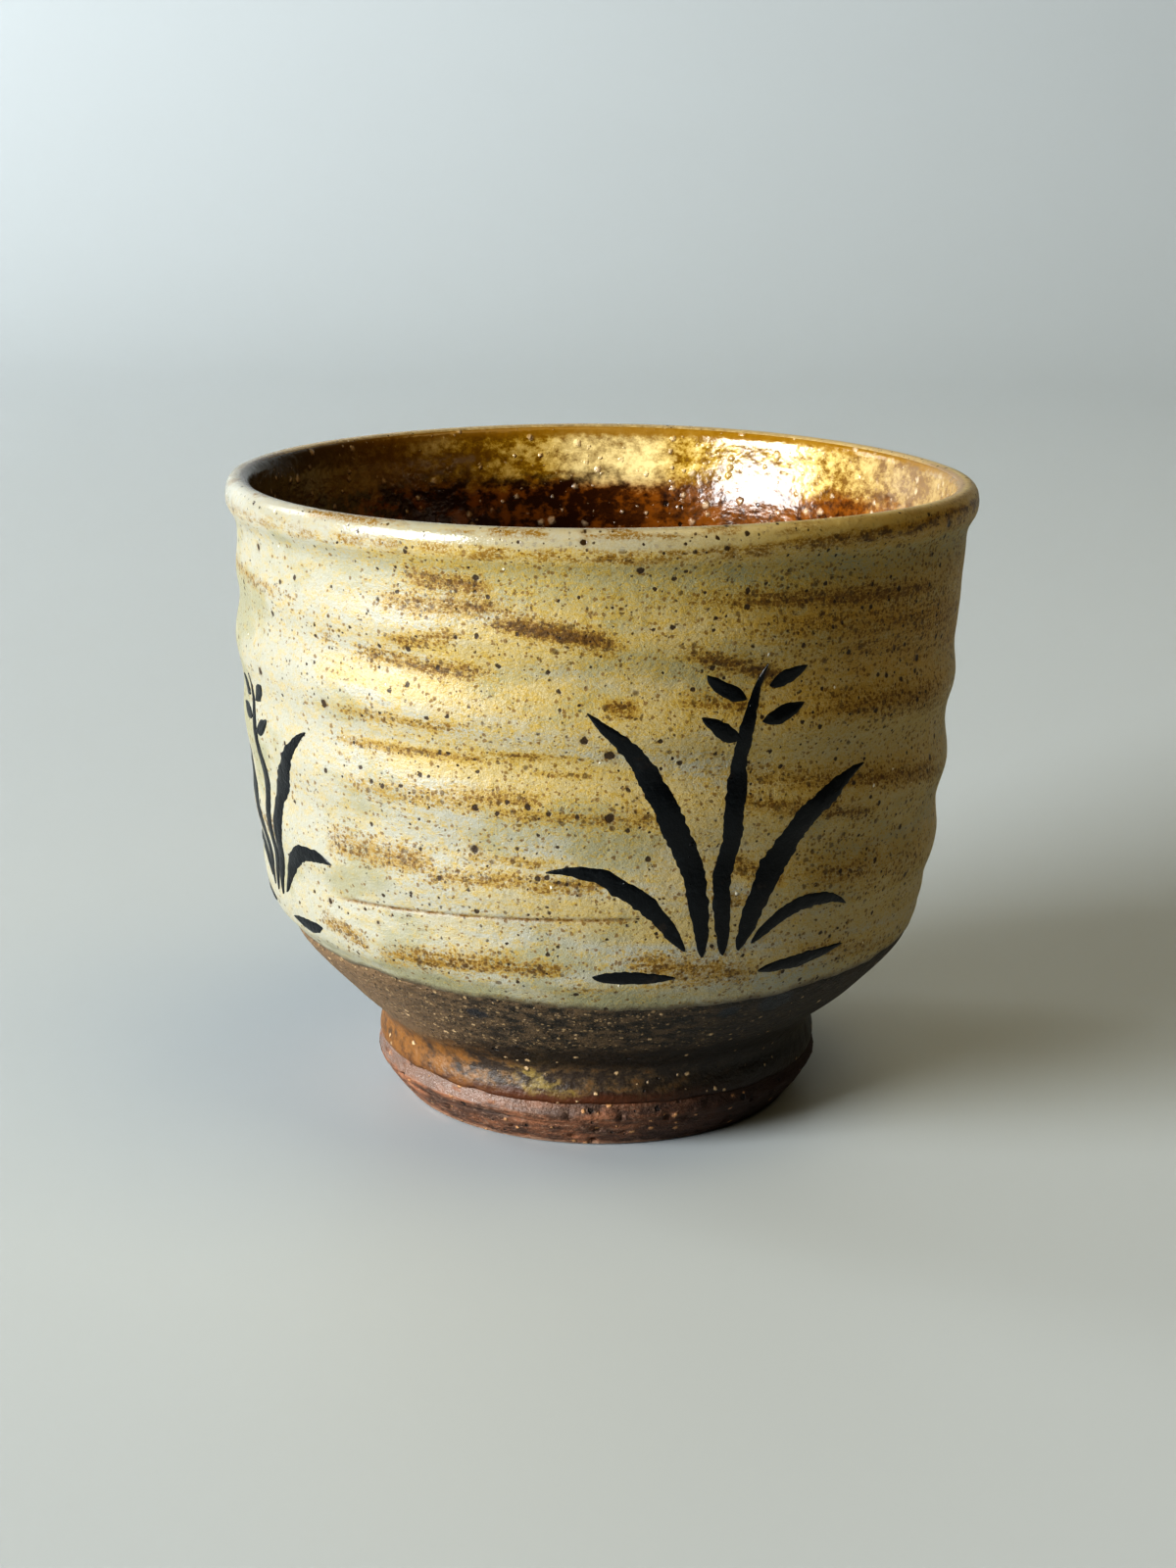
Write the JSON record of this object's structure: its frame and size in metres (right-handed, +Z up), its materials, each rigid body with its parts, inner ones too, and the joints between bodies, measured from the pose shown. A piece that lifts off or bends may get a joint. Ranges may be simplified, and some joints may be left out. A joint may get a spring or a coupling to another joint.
{
  "type": "tea cup",
  "caption": "Handleless stoneware tea cup with a rolled lip, a ringed wall, a turned foot, an ash glaze over an iron glaze and brushed reeds.",
  "frame": {"origin": "centre of the ring face that the foot stands on", "axes": "+Z up along the axis that the cup was thrown on; -Y towards the side with the front clump of reeds; +X to the right of it"},
  "size_m": [0.084, 0.084, 0.072],
  "materials": {
    "stoneware_clay": "unglazed, matt, with grog",
    "cream_ash_glaze": "satin gloss, speckled, with golden streaks",
    "brown_iron_glaze": "satin to glossy, speckled",
    "amber_iron_glaze": "glossy, speckled",
    "iron_pigment": "glossy brushed pigment"
  },
  "bodies": {
    "root": {"clay_bowl": "stoneware_clay", "foot_ring": "stoneware_clay", "cream_glaze": "cream_ash_glaze", "brown_glaze": "brown_iron_glaze", "amber_glaze": "amber_iron_glaze", "front_reeds": "iron_pigment", "side_reeds": "iron_pigment", "back_reeds": "iron_pigment"}
  },
  "joints": []
}
